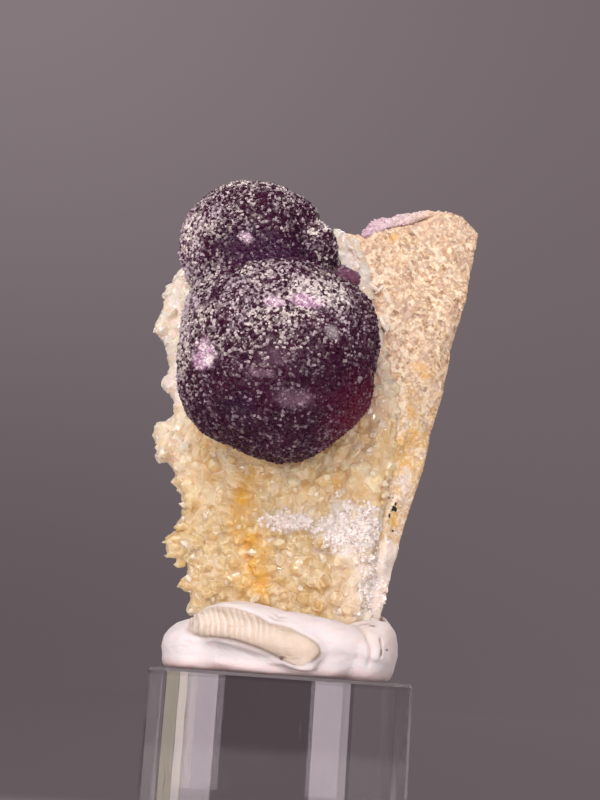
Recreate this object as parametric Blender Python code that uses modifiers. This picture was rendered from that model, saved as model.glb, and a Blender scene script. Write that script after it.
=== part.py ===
"""Botryoidal fluorite on a quartz crust, held upright by putty on a clear block.

Blender 4.5, metres, +Z up. The origin is the middle of the block's underside, +X is the
viewer's right and +Y points away from the viewer. Lengths are in millimetres until MM
turns them into metres.
"""

import math
import random

import bmesh
import bpy
from mathutils import Matrix, Vector, noise

MM = 0.001
GAP = 0.3

# Clear block
BLOCK_WIDTH = 30.0
BLOCK_HEIGHT = 30.0
BLOCK_BEVEL = 0.35


class Plane:
    """A flat face through a point, looking at the viewer and then turned right and tipped up."""

    def __init__(self, point, turn=0.0, tip=0.0):
        turn, tip = math.radians(turn), math.radians(tip)
        level = math.cos(tip)
        self.point = Vector(point)
        self.normal = Vector((math.sin(turn) * level, -math.cos(turn) * level, math.sin(tip)))

    def raised(self, height):
        """A parallel plane, further along the normal."""
        other = Plane(self.point + self.normal * height)
        other.normal = self.normal
        return other

    def flipped(self):
        """The same plane, looking the other way."""
        other = Plane(self.point)
        other.normal = -self.normal
        return other

    def depth_at(self, x, z):
        """The y of the plane at an (x, z)."""
        across, up = x - self.point.x, z - self.point.z
        return self.point.y - (self.normal.x * across + self.normal.z * up) / self.normal.y


# The specimen's foot, and the faces that bound the rock and its crust
FOOT_Z = 36.6
FOOT = Plane((0.0, 0.0, FOOT_Z), tip=-90.0)
CRUST_THICKNESS = 2.0
CRUST_BACK = Plane((0.0, -0.5, 65.0), turn=-12.0)
CRUST_FRONT = CRUST_BACK.raised(CRUST_THICKNESS)
UPPER_BREAK = Plane((12.9, -3.24, 64.7), turn=17.8, tip=7.9)
LOWER_BREAK = Plane((13.0, -3.26, 63.5), turn=38.0, tip=-4.2)
STRAIGHT_SIDE = Plane((17.4, -1.9, 64.0), turn=97.0, tip=-12.2)
ROCK_BACK = Plane((0.0, 8.6, 65.0), turn=176.0, tip=3.0)
BACK_SHOULDER = Plane((-9.0, 6.6, 78.0), turn=214.0, tip=16.0)
BACK_HEEL = Plane((12.0, 6.2, 50.0), turn=150.0, tip=-10.0)

# Outlines seen from the front, as (x, z)
ROCK_OUTLINE = [
    (-11.6, FOOT_Z), (12.4, FOOT_Z), (15.4, 48.0), (18.9, 63.6), (21.8, 77.0), (24.0, 88.2),
    (21.6, 90.9), (19.8, 92.0), (16.0, 92.0), (7.0, 89.0), (6.6, 86.8), (5.2, 86.5),
    (3.6, 87.0), (1.4, 87.2), (-4.0, 86.2), (-9.6, 83.4), (-13.6, 78.0), (-15.4, 73.0),
    (-14.6, 69.0), (-13.8, 62.5), (-15.4, 59.0), (-13.4, 54.0), (-12.2, 48.0),
]
CRUST_OUTLINE = [
    (-11.9, FOOT_Z), (12.0, FOOT_Z), (16.0, 57.0), (22.5, 86.8), (6.8, 86.3), (5.2, 85.9),
    (3.7, 86.4), (2.3, 86.9), (-4.0, 87.3), (-10.6, 85.0), (-14.8, 82.4), (-17.2, 79.8),
    (-18.4, 76.8), (-18.9, 73.8), (-17.4, 71.4), (-16.9, 68.2), (-17.5, 66.2), (-16.2, 64.2),
    (-14.8, 62.6), (-17.3, 61.2), (-18.0, 59.4), (-17.0, 56.8), (-15.2, 54.6), (-14.4, 51.0),
    (-13.4, 48.0), (-13.4, 45.0), (-12.4, 41.5),
]
CRUST_MIDDLE = Vector((0.0, 64.0))

# The slope along the rock's top edge that carries the pale rind, as its two ends
RIND_LEFT = Vector((6.2, 86.55))
RIND_RIGHT = Vector((18.8, 91.9))
RIND_HEIGHT = 2.1

# Fluorite balls, each as (centre, radius). The first five make up the big one.
BALLS = [
    (Vector((-3.0, -9.2, 68.0)), 12.1),
    (Vector((-6.4, -8.8, 71.0)), 8.7),
    (Vector((1.4, -8.6, 70.2)), 8.5),
    (Vector((-2.4, -9.6, 63.4)), 8.2),
    (Vector((-7.0, -8.6, 64.8)), 7.7),
    (Vector((-7.8, -4.6, 83.0)), 8.6),
    (Vector((1.0, -7.2, 83.0)), 3.0),
    (Vector((4.9, -6.6, 79.3)), 1.9),
]

# Quartz crystals: how far apart, how deep their roots are in the crust, how they lean
CRYSTAL_PITCH = 2.3
CRYSTAL_ROOT = 1.2
CRYSTAL_LEAN = 0.35

# Putty, each lump as (centre, radii)
ROLL_LEFT = Vector((-8.6, -9.6, 35.2))
ROLL_RIGHT = Vector((2.6, -11.2, 33.0))
ROLL_RADII = (2.0, 1.8, 1.9)
ROLL_LUMPS = 7
PUTTY_LUMPS = {
    "pad": (Vector((0.0, 0.4, 32.6)), (13.9, 11.2, 3.4)),
    "left lobe": (Vector((-10.2, -3.6, 32.9)), (4.0, 6.6, 3.2)),
    "front lip, left": (Vector((-5.0, -6.4, 35.0)), (6.2, 3.6, 3.4)),
    "front lip, right": (Vector((3.0, -7.2, 33.8)), (7.5, 4.2, 3.4)),
    "right lobe": (Vector((9.6, -2.6, 33.4)), (4.4, 7.2, 3.9)),
    "rise behind the foot": (Vector((11.0, 2.6, 35.2)), (2.9, 5.2, 3.3)),
    "back lip": (Vector((0.0, 8.2, 34.2)), (11.0, 3.2, 3.6)),
}

# Triangles that each rough shape is brought down to before its flat cuts
ROCK_TRIANGLES = 1500
BALL_TRIANGLES = 2500
RIND_TRIANGLES = 520
PUTTY_TRIANGLES = 1150


def material(name, colour, roughness, transmission=0.0):
    """A plain Principled material."""
    made = bpy.data.materials.new(name)
    made.use_nodes = True
    shader = made.node_tree.nodes["Principled BSDF"]
    shader.inputs["Base Color"].default_value = (*colour, 1.0)
    shader.inputs["Roughness"].default_value = roughness
    shader.inputs["Metallic"].default_value = 0.0
    shader.inputs["Transmission Weight"].default_value = transmission
    return made


def collected(name, data, collection="botryoidal_fluorite"):
    """An object in one of the two collections."""
    obj = bpy.data.objects.new(name, data)
    bpy.data.collections[collection].objects.link(obj)
    if collection == "cutters":
        obj.hide_render = True
        obj.display_type = "WIRE"
    return obj


def from_bmesh(name, bm, collection="botryoidal_fluorite"):
    """An object made of a finished bmesh."""
    mesh = bpy.data.meshes.new(name)
    bm.to_mesh(mesh)
    bm.free()
    return collected(name, mesh, collection)


def applied(obj):
    """The object as a plain mesh, with its modifiers or its curve worked out."""
    bpy.context.view_layer.update()
    evaluated = obj.evaluated_get(bpy.context.evaluated_depsgraph_get())
    mesh = bpy.data.meshes.new_from_object(evaluated)
    mesh.transform(obj.matrix_world)
    name, collection = obj.name, obj.users_collection[0].name
    bpy.data.objects.remove(obj)
    return collected(name, mesh, collection)


def edit(obj, change, *arguments):
    """Runs change(bm, *arguments) on the object's mesh."""
    bm = bmesh.new()
    bm.from_mesh(obj.data)
    change(bm, *arguments)
    bm.to_mesh(obj.data)
    bm.free()
    return obj


def clip(bm, plane):
    """Cuts away what lies in front of a plane, and closes the cut."""
    bmesh.ops.bisect_plane(
        bm, geom=[*bm.verts, *bm.edges, *bm.faces], dist=1e-7, plane_co=plane.point * MM,
        plane_no=plane.normal, clear_outer=True,
    )
    rim = [edge for edge in bm.edges if edge.is_boundary]
    bmesh.ops.holes_fill(bm, edges=rim, sides=0)
    bmesh.ops.recalc_face_normals(bm, faces=bm.faces)


def clipped(obj, *planes):
    """The object with everything in front of each plane cut away."""
    for plane in planes:
        edit(obj, clip, plane)
    return obj


def combined(obj, other, operation="UNION", overlapping=False):
    """A Boolean of the object with another one, which it uses up."""
    boolean = obj.modifiers.new("Combined", "BOOLEAN")
    boolean.operation = operation
    boolean.use_self = overlapping
    boolean.object = other
    obj = applied(obj)
    bpy.data.objects.remove(other)
    return obj


def slab(name, outline, front, back, collection="botryoidal_fluorite"):
    """A plate with the outline as seen from the front, between two depths along Y."""
    curve = bpy.data.curves.new(name, "CURVE")
    curve.dimensions = "2D"
    curve.fill_mode = "BOTH"
    curve.extrude = (back - front) / 2 * MM
    spline = curve.splines.new("POLY")
    spline.points.add(len(outline) - 1)
    for point, (x, z) in zip(spline.points, outline, strict=True):
        point.co = (x * MM, z * MM, 0.0, 1.0)
    spline.use_cyclic_u = True
    obj = collected(name, curve, collection)
    obj.location = (0.0, (front + back) / 2 * MM, 0.0)
    obj.rotation_euler = (math.pi / 2, 0.0, 0.0)
    obj = applied(obj)
    return edit(obj, lambda bm: bmesh.ops.remove_doubles(bm, verts=bm.verts, dist=1e-6))


def lumps(name, balls):
    """An object with one ball for each (centre, radii)."""
    bm = bmesh.new()
    for centre, radii in balls:
        place = Matrix.Translation(centre * MM) @ Matrix.Diagonal((*(Vector(radii) * MM), 1.0))
        bmesh.ops.create_icosphere(bm, subdivisions=4, radius=1.0, matrix=place)
    return from_bmesh(name, bm)


def one_skin(obj, voxel, softening=0):
    """Joins whatever overlaps in the mesh into one even skin and rounds its steps."""
    remesh = obj.modifiers.new("Skin", "REMESH")
    remesh.mode = "VOXEL"
    remesh.voxel_size = voxel * MM
    smooth = obj.modifiers.new("Soften", "SMOOTH")
    smooth.factor = 0.5
    smooth.iterations = softening
    return applied(obj)


def thinned(obj, triangles):
    """Brings the mesh down to a number of triangles."""
    obj.data.calc_loop_triangles()
    decimate = obj.modifiers.new("Thinned", "DECIMATE")
    decimate.ratio = min(1.0, triangles / len(obj.data.loop_triangles))
    return applied(obj)


def roughen(bm, size, depth, seed):
    """Moves each point along its normal by fractal noise with lumps of about the given size."""
    bm.normal_update()
    shift = Vector((7.3, 3.1, 5.7)) * seed
    for vert in bm.verts:
        lump = noise.fractal(vert.co / (size * MM) + shift, 0.7, 2.1, 4)
        vert.co += vert.normal * (lump * depth * MM)


def drop_chips(bm):
    """Keeps the largest connected piece and removes what the cuts have severed from it."""
    left, pieces = set(bm.verts), []
    while left:
        reached = [left.pop()]
        for vert in reached:
            near = {edge.other_vert(vert) for edge in vert.link_edges} & left
            left -= near
            reached.extend(near)
        pieces.append(reached)
    pieces.sort(key=len)
    bmesh.ops.delete(bm, geom=[vert for piece in pieces[:-1] for vert in piece])


def acrylic_block():
    """A polished clear block with narrow bevels."""
    bm = bmesh.new()
    bmesh.ops.create_cube(bm, size=1.0, matrix=Matrix.Diagonal(
        (BLOCK_WIDTH * MM, BLOCK_WIDTH * MM, BLOCK_HEIGHT * MM, 1.0)))
    obj = from_bmesh("acrylic_block", bm)
    obj.location.z = BLOCK_HEIGHT / 2 * MM
    bevel = obj.modifiers.new("Bevel", "BEVEL")
    bevel.width = BLOCK_BEVEL * MM
    bevel.segments = 1
    obj.data.materials.append(material("clear acrylic", (0.9, 0.9, 0.92), 0.03, 1.0))


def host_rock():
    """The granular rock behind the crust: two broken faces, one straight side, a rough back."""
    obj = slab("host_rock", ROCK_OUTLINE, -14.0, 12.0)
    clipped(obj, ROCK_BACK, BACK_SHOULDER, BACK_HEEL, UPPER_BREAK, LOWER_BREAK)
    obj = one_skin(obj, 0.75)
    edit(obj, roughen, 9.0, 0.8, 1)
    edit(obj, roughen, 2.4, 0.4, 2)
    obj = thinned(obj, ROCK_TRIANGLES)
    clipped(obj, STRAIGHT_SIDE, CRUST_BACK.raised(-GAP), FOOT)
    above = 5.0
    step = [RIND_LEFT, RIND_RIGHT, (RIND_RIGHT.x, RIND_RIGHT.y + above), (RIND_LEFT.x, RIND_RIGHT.y + above)]
    obj = combined(obj, slab("rind_step", step, -12.0, 16.0, "cutters"), "DIFFERENCE")
    obj.data.materials.append(material("tan rock", (0.62, 0.47, 0.30), 0.8))
    return obj


def crystal(bm, root, direction, radius, length, twist):
    """A six-sided quartz point: a short prism that ends in a pyramid."""
    tip = 1.15 * radius
    shaft = length - tip
    turned = direction.to_track_quat("Z", "Y").to_matrix().to_4x4() @ Matrix.Rotation(twist, 4, "Z")
    made = bmesh.ops.create_cone(
        bm, cap_ends=True, segments=6, radius1=radius * MM, radius2=radius * MM, depth=shaft * MM,
        matrix=Matrix.Translation((root + direction * shaft / 2) * MM) @ turned,
    )
    caps = {face for vert in made["verts"] for face in vert.link_faces if len(face.verts) == 6}
    top = max(caps, key=lambda face: face.calc_center_median().dot(direction))
    peak = bmesh.ops.poke(bm, faces=[top])["verts"][0]
    peak.co += direction * tip * MM


def clear_of_balls(point, margin):
    """Whether a point is further than the margin from every ball."""
    return all((point - centre).length > radius + margin for centre, radius in BALLS)


def inside(outline, x, z):
    """Whether a point is inside an outline, by counting the edges to its right."""
    found = False
    for (x0, z0), (x1, z1) in zip(outline, outline[1:] + outline[:1], strict=True):
        if (z0 > z) != (z1 > z) and x < x0 + (x1 - x0) * (z - z0) / (z1 - z0):
            found = not found
    return found


def face_crystals(rng):
    """Crystals over the front of the crust, as (root, direction, radius, length)."""
    lowest, row_height, jitter = FOOT_Z + 3.0, 0.87 * CRYSTAL_PITCH, 0.6
    for row in range(26):
        for column in range(18):
            x = -17.5 + CRYSTAL_PITCH * (column + 0.5 * (row % 2)) + rng.uniform(-jitter, jitter)
            z = lowest + row_height * row + rng.uniform(-jitter, jitter)
            radius, length = rng.uniform(1.15, 1.7), rng.uniform(2.0, 2.9)
            lean = Vector((rng.gauss(0.0, CRYSTAL_LEAN), rng.gauss(0.0, 0.1), rng.gauss(0.0, CRYSTAL_LEAN)))
            if not inside(CRUST_OUTLINE, x, z):
                continue
            foot = Vector((x, CRUST_FRONT.depth_at(x, z), z))
            direction = (CRUST_FRONT.normal + lean).normalized()
            tip = foot + direction * (length - CRYSTAL_ROOT)
            if clear_of_balls(foot, radius + 0.2) and clear_of_balls(tip, 0.4):
                yield foot - CRUST_FRONT.normal * CRYSTAL_ROOT, direction, radius, length


def edge_crystals(rng):
    """Blunt crystals along the crust's left edge, and two long ones near the foot."""
    middle = Vector((CRUST_MIDDLE.x, 0.0, CRUST_MIDDLE.y))
    left = [(x, z) for x, z in CRUST_OUTLINE if x < -12.6]
    for (x0, z0), (x1, z1) in zip(left, left[1:], strict=False):
        for share in (0.0, 0.5):
            x, z = x0 + (x1 - x0) * share, z0 + (z1 - z0) * share
            out = (Vector((x, 0.0, z)) - middle).normalized()
            out = (out + Vector((-0.3, rng.gauss(-0.2, 0.4), rng.gauss(0.0, 0.3)))).normalized()
            root = Vector((x, CRUST_FRONT.depth_at(x, z) + rng.uniform(0.6, 1.2), z)) - out
            yield root, out, rng.uniform(1.1, 1.5), rng.uniform(1.7, 2.3)
    for z, lift, radius, length in ((45.5, 0.12, 1.1, 3.9), (44.5, 0.0, 0.8, 3.6)):
        root = Vector((-12.4, CRUST_FRONT.depth_at(-12.4, z) + 0.8, z))
        yield root, Vector((-1.0, -0.25, lift)).normalized(), radius, length


def quartz_druse():
    """The quartz crust: a plate on the rock, with crystals grown together all over it."""
    obj = clipped(slab("quartz_druse", CRUST_OUTLINE, -14.0, 6.0), CRUST_FRONT)
    rng = random.Random(11)
    bm = bmesh.new()
    for root, direction, radius, length in [*face_crystals(rng), *edge_crystals(rng)]:
        crystal(bm, root, direction, radius, length, rng.uniform(0.0, math.pi))
    obj = combined(obj, from_bmesh("crystal_points", bm, "cutters"), overlapping=True)
    clipped(obj, CRUST_BACK.flipped(), FOOT, UPPER_BREAK, LOWER_BREAK)
    edit(obj, drop_chips)
    obj.data.materials.append(material("cream quartz", (0.80, 0.72, 0.55), 0.25, 0.2))
    return obj


def fluorite_balls():
    """Balls of fluorite grown into each other, rough all over, with a flat seat on the crust."""
    obj = one_skin(lumps("fluorite_balls", [(centre, (radius,) * 3) for centre, radius in BALLS]), 0.5, 6)
    edit(obj, roughen, 6.0, 0.3, 4)
    edit(obj, roughen, 1.6, 0.25, 5)
    obj = thinned(obj, BALL_TRIANGLES)
    wider = [Vector(point) + (Vector(point) - CRUST_MIDDLE).normalized() * 2 * GAP for point in CRUST_OUTLINE]
    seat = clipped(slab("ball_seat", wider, -14.0, 20.0, "cutters"), CRUST_FRONT.raised(GAP))
    obj = combined(obj, seat, "DIFFERENCE")
    obj.data.materials.append(material("purple fluorite", (0.07, 0.03, 0.10), 0.35))


def fluorite_rind():
    """A knobbly pale rind along the rock's top edge."""
    rng = random.Random(5)
    knobs, rows, inset = [], 9, 1.1
    for row in range(rows):
        share = (row + 0.5) / rows
        x, z = RIND_LEFT.lerp(RIND_RIGHT, share)
        nearest, furthest = UPPER_BREAK.depth_at(x, z) + inset, ROCK_BACK.depth_at(x, z) - inset
        for across in (0.0, 0.5, 1.0):
            height = RIND_HEIGHT * (1.0 - 0.7 * share ** 2) * rng.uniform(0.85, 1.1)
            radii = (rng.uniform(1.0, 1.5), rng.uniform(1.0, 1.4), height)
            knobs.append((Vector((x, nearest + (furthest - nearest) * across, z)), radii))
    obj = thinned(one_skin(lumps("fluorite_rind", knobs), 0.3, 4), RIND_TRIANGLES)
    slope = math.degrees(math.atan2(RIND_RIGHT.y - RIND_LEFT.y, RIND_RIGHT.x - RIND_LEFT.x))
    under = Plane((RIND_LEFT.x, 0.0, RIND_LEFT.y), turn=90.0, tip=slope - 90.0).raised(-GAP)
    left_end = Plane((RIND_LEFT.x + GAP, 0.0, 0.0), turn=-90.0)
    right_end = Plane((RIND_RIGHT.x - GAP, 0.0, 0.0), turn=90.0)
    clipped(obj, under, left_end, right_end)
    obj.data.materials.append(material("lilac fluorite", (0.62, 0.48, 0.60), 0.5))


def foot_socket(*pieces):
    """A rounded prism around the pieces' feet, a gap wider than they are."""
    reach, top, room = FOOT_Z + 4.4, FOOT_Z + 9.4, GAP + 0.05
    bm = bmesh.new()
    for piece in pieces:
        for vert in piece.data.vertices:
            if vert.co.z < reach * MM:
                for step in range(8):
                    angle = math.tau * step / 8
                    x = vert.co.x + room * MM * math.cos(angle)
                    y = vert.co.y + room * MM * math.sin(angle)
                    bm.verts.new((x, y, (FOOT_Z - GAP) * MM))
                    bm.verts.new((x, y, top * MM))
    hull = bmesh.ops.convex_hull(bm, input=bm.verts)
    unused = [item for item in hull["geom_interior"] if isinstance(item, bmesh.types.BMVert)]
    bmesh.ops.delete(bm, geom=unused)
    bmesh.ops.dissolve_limit(bm, angle_limit=math.radians(4.0), verts=bm.verts, edges=bm.edges)
    return from_bmesh("foot_socket", bm, "cutters")


def mounting_putty(*feet):
    """Kneaded putty: a pad on the block, lobes pressed up around the foot, and one folded roll."""
    roll = [(ROLL_LEFT.lerp(ROLL_RIGHT, step / (ROLL_LUMPS - 1)), ROLL_RADII) for step in range(ROLL_LUMPS)]
    obj = one_skin(lumps("mounting_putty", [*PUTTY_LUMPS.values(), *roll]), 0.55, 5)
    obj = clipped(thinned(obj, PUTTY_TRIANGLES), Plane((0.0, 0.0, BLOCK_HEIGHT + GAP), tip=-90.0))
    obj = combined(obj, foot_socket(*feet), "DIFFERENCE")
    obj.data.materials.append(material("white putty", (0.82, 0.74, 0.72), 0.55))


def build():
    """Clears the scene and makes the six pieces."""
    for obj in list(bpy.data.objects):
        bpy.data.objects.remove(obj)
    for name in ("botryoidal_fluorite", "cutters"):
        bpy.context.scene.collection.children.link(bpy.data.collections.new(name))
    acrylic_block()
    rock = host_rock()
    crust = quartz_druse()
    fluorite_balls()
    fluorite_rind()
    mounting_putty(rock, crust)


build()
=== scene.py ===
# %% [markdown]
# # Botryoidal fluorite on quartz
#
# The specimen is a dark purple double ball of fluorite that grew on a crust of pale
# quartz. The crust sits on tan rock, and a lump of white putty holds the rock on a clear
# acrylic block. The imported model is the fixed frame, with every size in metres. Each
# piece here is a finer skin of one of its solids, in the same place.

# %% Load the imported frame
import math

import bmesh
import bpy
import numpy as np
from mathutils import Matrix, Vector, noise


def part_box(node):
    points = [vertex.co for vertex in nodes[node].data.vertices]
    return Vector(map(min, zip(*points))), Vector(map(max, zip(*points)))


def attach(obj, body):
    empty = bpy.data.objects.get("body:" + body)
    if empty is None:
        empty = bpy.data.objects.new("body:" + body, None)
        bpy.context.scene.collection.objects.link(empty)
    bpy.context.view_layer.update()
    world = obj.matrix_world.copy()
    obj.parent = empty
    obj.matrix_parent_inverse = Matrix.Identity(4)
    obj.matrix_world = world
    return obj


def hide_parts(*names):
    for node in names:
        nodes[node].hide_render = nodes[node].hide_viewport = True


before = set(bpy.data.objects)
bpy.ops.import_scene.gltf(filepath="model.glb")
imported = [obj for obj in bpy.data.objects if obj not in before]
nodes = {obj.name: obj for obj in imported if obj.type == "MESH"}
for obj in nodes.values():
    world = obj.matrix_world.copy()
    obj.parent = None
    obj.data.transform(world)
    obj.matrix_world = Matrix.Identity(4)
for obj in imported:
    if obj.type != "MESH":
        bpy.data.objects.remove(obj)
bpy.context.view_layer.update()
MM = 0.001

# %% [markdown]
# ## Camera
#
# The photograph looks slightly up at the specimen from the level of the block's top, and
# leans a little to one side. The camera's place and lens come from the block's edges,
# so the frame holds the same view. It has no depth of field and no shift.

# %% Camera
EYE, LENS, LOOK_UP, LEAN = (0.0, -0.175, 0.030), 62.6, 11.23, 4.0
camera = bpy.data.objects.new("camera", bpy.data.cameras.new("camera"))
bpy.context.scene.collection.objects.link(camera)
camera.data.sensor_width = 36.0
camera.data.lens = LENS
camera.data.clip_start = 0.002
camera.matrix_world = (
    Matrix.Translation(EYE)
    @ Matrix.Rotation(math.radians(90.0 + LOOK_UP), 4, "X")
    @ Matrix.Rotation(math.radians(LEAN), 4, "Z")
)
bpy.context.scene.camera = camera
print("camera", [round(c, 3) for c in camera.location])

# %% [markdown]
# ## Wires and benches
#
# Materials and Geometry Nodes are both node trees. A Wire is one output of a node, and
# arithmetic on it adds the Math node that does the sum, so a formula reads like one. A
# Bench is a tree to work on: its node method adds any node, with its settings first and
# then its sockets, and the others shorten what comes up often.


# %% Wire
def operator(operation, swapped=False):
    """An operator of a Wire: it adds a Math node, with the wire second if it is swapped."""

    def method(wire, other):
        return wire.maths(operation, *((other, wire) if swapped else (wire, other)))

    return method


class Wire:
    """An output socket that can be added, scaled and compared."""

    __add__, __radd__ = operator("ADD"), operator("ADD", swapped=True)
    __sub__, __rsub__ = operator("SUBTRACT"), operator("SUBTRACT", swapped=True)
    __mul__, __rmul__ = operator("MULTIPLY"), operator("MULTIPLY", swapped=True)
    __rtruediv__ = operator("DIVIDE", swapped=True)
    at_least, at_most = operator("MAXIMUM"), operator("MINIMUM")

    def __init__(self, bench, socket):
        self.bench, self.socket = bench, socket

    def maths(self, operation, *terms):
        return self.bench.node("ShaderNodeMath", {"operation": operation}, dict(enumerate(terms)))

    def twin(self, name):
        """Another output of the same node."""
        return Wire(self.bench, self.bench.pick(self.socket.node.outputs, name))

    def step(self, low, high):
        """0 below low, 1 above high, smooth in between. With low above high it falls instead."""
        sockets = {"Value": self, "From Min": low, "From Max": high}
        return self.bench.node("ShaderNodeMapRange", {"interpolation_type": "SMOOTHSTEP"}, sockets)


# %% Bench
class Bench:
    """A node tree to build on."""

    def __init__(self, tree):
        self.tree = tree

    @staticmethod
    def pick(sockets, key):
        usable = [s for s in sockets if s.enabled and not s.is_unavailable]
        return usable[key] if isinstance(key, int) else next(s for s in usable if s.name == key)

    def node(self, kind, settings=None, sockets=None, out=0):
        made = self.tree.nodes.new(kind)
        for key, value in (settings or {}).items():
            if key == "stops":
                self.set_stops(made.color_ramp.elements, value)
            else:
                setattr(made, key, value)
        for key, value in (sockets or {}).items():
            self.feed(self.pick(made.inputs, key), value)
        return Wire(self, self.pick(made.outputs, out)) if made.outputs else made

    def feed(self, socket, value):
        if isinstance(value, Wire):
            self.tree.links.new(value.socket, socket)
        else:
            socket.default_value = value

    def vector(self, operation, *terms, out=0):
        return self.node("ShaderNodeVectorMath", {"operation": operation}, dict(enumerate(terms)), out)

    def part(self, place, axis):
        """One of a vector's three numbers, named by its axis."""
        return self.node("ShaderNodeSeparateXYZ", None, {0: place}, axis)

    def mix(self, factor, first, second, blend="MIX"):
        """second over first where factor is 1. Each is a wire or three numbers."""
        sides = {k: v if isinstance(v, Wire) else (*v, 1.0) for k, v in (("A", first), ("B", second))}
        settings = {"data_type": "RGBA", "blend_type": blend}
        return self.node("ShaderNodeMix", settings, {"Factor": factor, **sides}, "Result")

    def facets(self, place, scale):
        """The height of small flat faces: each cell of a random pattern leans its own way."""
        cell = self.node("ShaderNodeTexVoronoi", None, {"Vector": place, "Scale": scale}, "Color")
        arm = self.vector("SUBTRACT", place, cell.twin("Position"))
        lean = self.vector("SUBTRACT", cell, (0.5, 0.5, 0.5))
        return self.vector("DOT_PRODUCT", arm, lean, out="Value") * scale * 2.0

    @staticmethod
    def set_stops(elements, stops):
        while len(elements) < len(stops):
            elements.new(1.0)
        for element, (position, colour) in zip(elements, stops):
            element.position, element.color = position, (*colour, 1.0)


# %% [markdown]
# ## Finishes
#
# Each surface's colour comes from where a point lies on the object, so nothing slides
# when the view changes. Noise of a stated size in millimetres gives grain and clouds, and
# a patch marks one place that the photograph shows, with a ragged edge.


# %% Finish helper
class Finish(Bench):
    """A Principled material whose patterns read Object coordinates."""

    def __init__(self, name, **constants):
        self.material = bpy.data.materials.new(name)
        self.material.use_nodes = True
        super().__init__(self.material.node_tree)
        self.shader = self.tree.nodes["Principled BSDF"]
        self.place = self.node("ShaderNodeTexCoord", out="Object")
        self.colour = (1.0, 1.0, 1.0)
        self.set(**constants)

    def set(self, **sockets):
        """Socket names are written with _ for a space."""
        for key, value in sockets.items():
            self.feed(self.shader.inputs[key.replace("_", " ")], value)

    def lay(self, factor, colour, blend="MIX"):
        """Lays a colour over the base colour where factor is 1."""
        self.colour = self.mix(factor, self.colour, colour, blend)

    def done(self, **sockets):
        """Gives the material, with its base colour and the last sockets set."""
        self.set(Base_Color=self.colour, **sockets)
        return self.material

    def axis(self, name):
        """How far along X, Y or Z a point lies, in metres."""
        return self.part(self.place, name)

    def written(self, name):
        """A number that was written on the vertices."""
        return self.node("ShaderNodeAttribute", {"attribute_name": name}, None, "Fac")

    def noise(self, size, detail=2.0, stretch=None):
        """Noise from 0 to 1 whose blobs are size millimetres across."""
        place = self.place
        if stretch:
            place = self.node("ShaderNodeMapping", None, {"Vector": place, "Scale": stretch})
        sockets = {"Vector": place, "Scale": 1.0 / (size * MM), "Detail": detail}
        return self.node("ShaderNodeTexNoise", None, sockets)

    def cells(self, size, out="Distance", feature="F1"):
        sockets = {"Vector": self.place, "Scale": 1.0 / (size * MM)}
        return self.node("ShaderNodeTexVoronoi", {"feature": feature}, sockets, out)

    def lot(self, size):
        """A number from 0 to 1 drawn for each cell, size millimetres across."""
        return self.node("ShaderNodeSeparateColor", None, {0: self.cells(size, "Color")}, "Red")

    def patch(self, centre, radii, edge=0.35, ragged=0.5, ragged_size=1.2):
        """1 inside an ellipsoid in millimetres, 0 outside, with a ragged edge."""
        away = self.vector("SUBTRACT", self.place, Vector(centre) * MM)
        far = self.vector("LENGTH", self.vector("DIVIDE", away, Vector(radii) * MM), out="Value")
        far = far + (self.noise(ragged_size, 3.0) - 0.5) * (2.0 * ragged)
        return far.step(1.0 + edge, 1.0 - edge)

    def patches(self, spots, *edge):
        """Several patches in one, each a centre and its radii, and its own edge if it has one."""
        union = self.patch(*spots[0], *edge)
        for spot in spots[1:]:
            union = union.at_least(self.patch(*spot, *edge))
        return union

    def ramp(self, value, stops):
        return self.node("ShaderNodeValToRGB", {"stops": stops}, {0: value}, "Color")

    def bump(self, height, depth, strength):
        """A bump of this depth in millimetres."""
        sockets = {"Strength": strength, "Distance": depth * MM, "Height": height}
        return self.node("ShaderNodeBump", None, sockets)


# %% [markdown]
# ## Geometry Nodes
#
# Grit and crystals repeat by the thousand, so Geometry Nodes scatter them. A tree gets
# named inputs for its sizes, the modifier is given them by the sockets' identifiers, and
# the result is turned into a plain mesh at once.


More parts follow.
